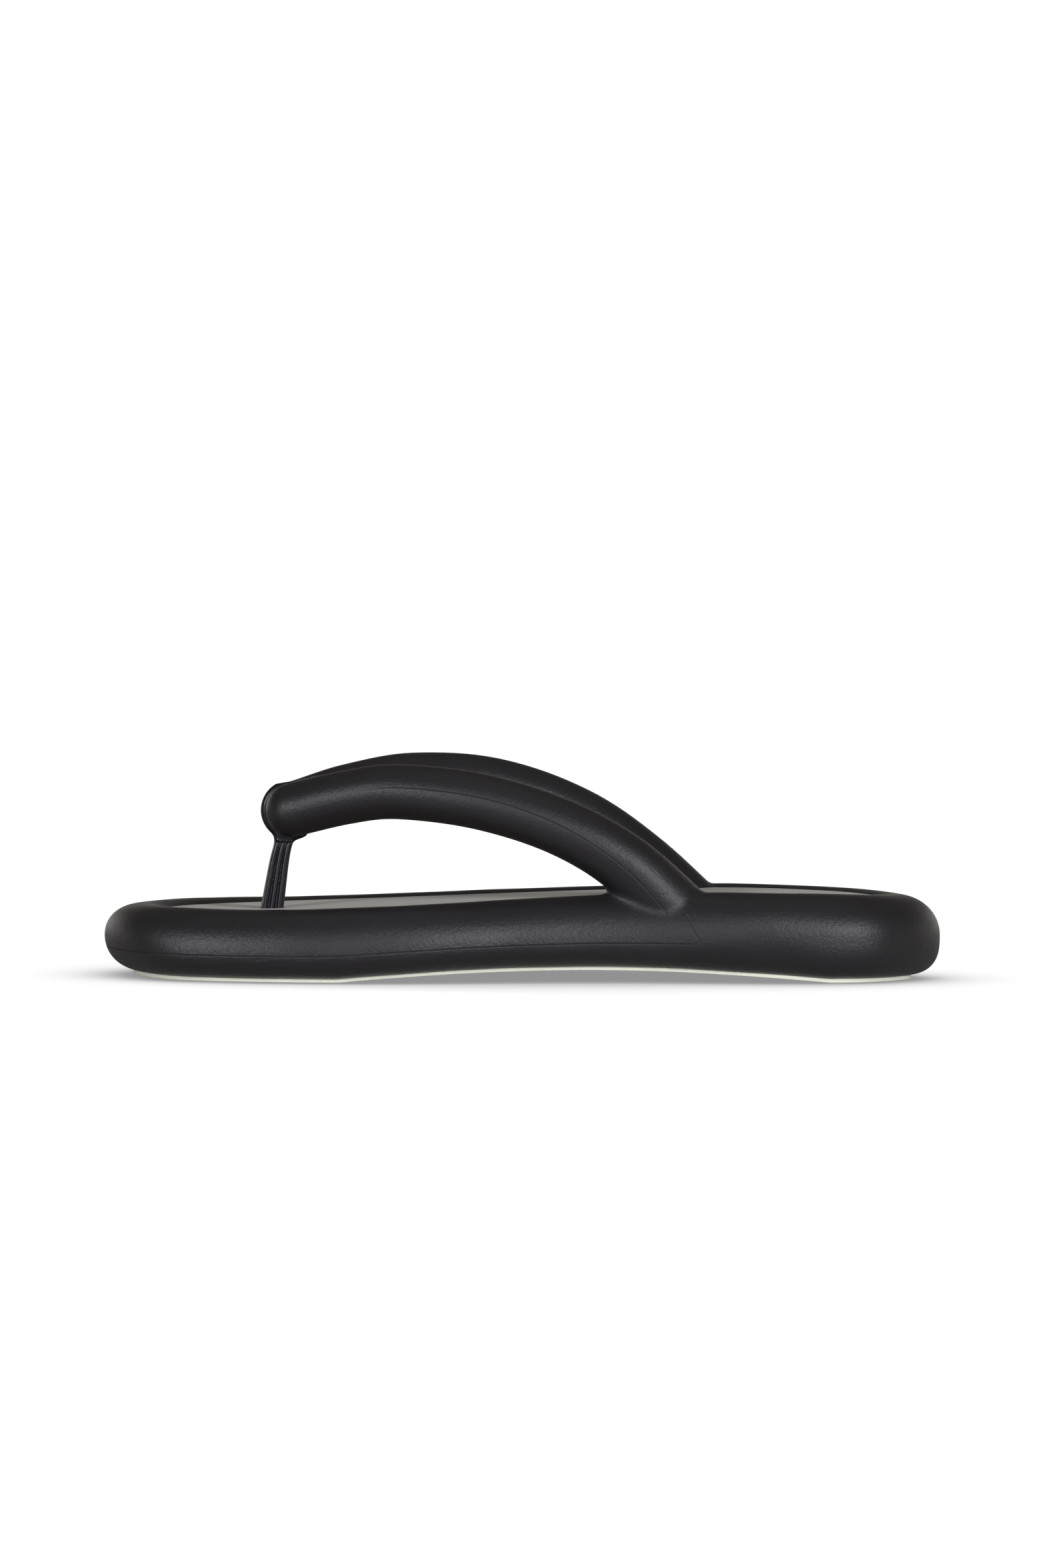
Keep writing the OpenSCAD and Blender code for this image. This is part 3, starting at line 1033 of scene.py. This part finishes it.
def build_world():
    """White for the camera; for the lighting a bright low horizon behind the shoe in a dim room."""
    scene = bpy.context.scene
    scene.view_settings.view_transform = "Standard"
    scene.view_settings.look = "None"
    world = bpy.data.worlds.new("studio")
    scene.world = world
    world.use_nodes = True
    s = Nodes(world.node_tree)
    split = s.nodes.new("ShaderNodeSeparateXYZ")
    s.links.new(s.nodes.new("ShaderNodeTexCoord").outputs["Generated"], split.inputs[0])
    behind = s.ramp(split.outputs["Y"], 0.0, 1.0, 0.1, 0.75)
    low = s.ramp(split.outputs["Z"], 1.0, 0.0, 0.04, 0.32)
    glow = s.ramp(s.math("MULTIPLY", behind, low), 0.11, 1.35)
    path = s.nodes.new("ShaderNodeLightPath")
    background = s.nodes["Background"]
    camera_ray = path.outputs["Is Camera Ray"]
    s.put(background.inputs["Color"], s.mix(camera_ray, (1.0, 0.95, 0.87), (1.0, 1.0, 1.0)))
    s.put(background.inputs["Strength"], s.math("MAXIMUM", glow, camera_ray))


def floor_material():
    """Pale floor: the camera sees a glowing white with a painted soft shadow near the shoe, other rays a
    matt surface.
    """
    s = Surface("floor")
    s.shader_input("Base Color", (0.72, 0.71, 0.70, 1))
    s.shader_input("Specular IOR Level", 0.0)
    nearness = s.nodes.new("ShaderNodeAmbientOcclusion")
    nearness.samples = 24
    nearness.inputs["Distance"].default_value = 0.08
    # Painted shadow: ambient occlusion near the shoe dims the floor's glow for the camera
    shadow = s.math("POWER", nearness.outputs["AO"], 1.6)
    white = s.nodes.new("ShaderNodeEmission")
    tone = s.mix(s.noise(60, detail=3), (0.97, 0.97, 0.975), (1.0, 1.0, 1.0))
    s.put(white.inputs["Color"], tone)
    s.put(white.inputs["Strength"], s.ramp(shadow, 0.29, 1.04, 0.0, 0.95))
    path = s.nodes.new("ShaderNodeLightPath")
    choice = s.nodes.new("ShaderNodeMixShader")
    s.links.new(path.outputs["Is Camera Ray"], choice.inputs[0])
    s.links.new(s.shader.outputs[0], choice.inputs[1])
    s.links.new(white.outputs[0], choice.inputs[2])
    s.links.new(choice.outputs[0], s.nodes["Material Output"].inputs["Surface"])
    return s.material


def build_floor():
    bpy.ops.mesh.primitive_plane_add(size=12, location=(0, 0, 0))
    floor = bpy.context.object
    floor.name = "floor"
    floor.data.materials.append(floor_material())


def softbox(name, azimuth, elevation, distance, size, radiance):
    """A soft light that faces the shoe. Azimuth 0 is the camera's side and 90 is the heel's."""
    a, e = math.radians(azimuth), math.radians(elevation)
    place = distance * Vector((math.sin(a) * math.cos(e), -math.cos(a) * math.cos(e), math.sin(e)))
    lamp = bpy.data.lights.new(name, "AREA")
    lamp.shape = "RECTANGLE"
    lamp.size, lamp.size_y = size
    lamp.energy = math.pi * size[0] * size[1] * radiance
    lamp.color = (0.97, 0.95, 1.0)
    holder = bpy.data.objects.new(name, lamp)
    holder.location = place
    holder.rotation_euler = (-place).to_track_quat("-Z", "Y").to_euler()
    holder.visible_camera = False
    bpy.context.scene.collection.objects.link(holder)


def build_lights():
    softbox("front_right", 38, 13, 1.8, (0.40, 0.30), 50.0)
    softbox("front_left", -36, 13, 1.8, (0.40, 0.30), 34.0)
    softbox("front_middle", 2, 13, 1.8, (0.30, 0.24), 17.0)
    softbox("back_right", 148, 12, 1.8, (0.50, 0.30), 1.0)
    softbox("back_left", -148, 12, 1.8, (0.50, 0.30), 1.0)
    softbox("overhead", 0, 88, 1.5, (1.4, 1.0), 0.25)


# The camera: its aim and distance in metres, its turns, and how tall a stretch it sees at the aim
CAMERA_AIM = Vector((-0.0005, 0, 0.0655))
CAMERA_DISTANCE = 2.5
CAMERA_ELEVATION = math.radians(2.0)
CAMERA_ROLL = math.radians(0.4)
VIEW_HEIGHT = 0.5354


def build_camera():
    camera = bpy.data.cameras.new("camera")
    camera.sensor_width = 36
    camera.lens = camera.sensor_width * CAMERA_DISTANCE / VIEW_HEIGHT
    camera.clip_end = 20
    holder = bpy.data.objects.new("camera", camera)
    back = Vector((0, -math.cos(CAMERA_ELEVATION), math.sin(CAMERA_ELEVATION)))
    holder.location = CAMERA_AIM + CAMERA_DISTANCE * back
    roll = Quaternion((0, 0, 1), CAMERA_ROLL)
    look = (CAMERA_AIM - holder.location).to_track_quat("-Z", "Y")
    holder.rotation_euler = (look @ roll).to_euler()
    bpy.context.scene.collection.objects.link(holder)
    bpy.context.scene.camera = holder


dress(build_moulding(), moulded_foam(), "body_moulding")
dress(build_post(), gloss_rubber(), "toe_post")
dress(build_sock(), insole_sheet(), "insole_sock")
dress(build_pad(), cell_foam("pad_foam", (0.05, 0.045, 0.04), (0.16, 0.145, 0.13), 0.9),
      "footbed_pad")
dress(build_core(), cell_foam("core_foam", (0.02, 0.018, 0.018), (0.09, 0.085, 0.08), 1.4),
      "midsole_core")
dress(build_outsole(), outsole_rubber(), "outsole")
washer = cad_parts["post_washer"]
washer.data.materials.clear()
washer.data.materials.append(brushed_steel())
build_world()
build_floor()
build_lights()
build_camera()
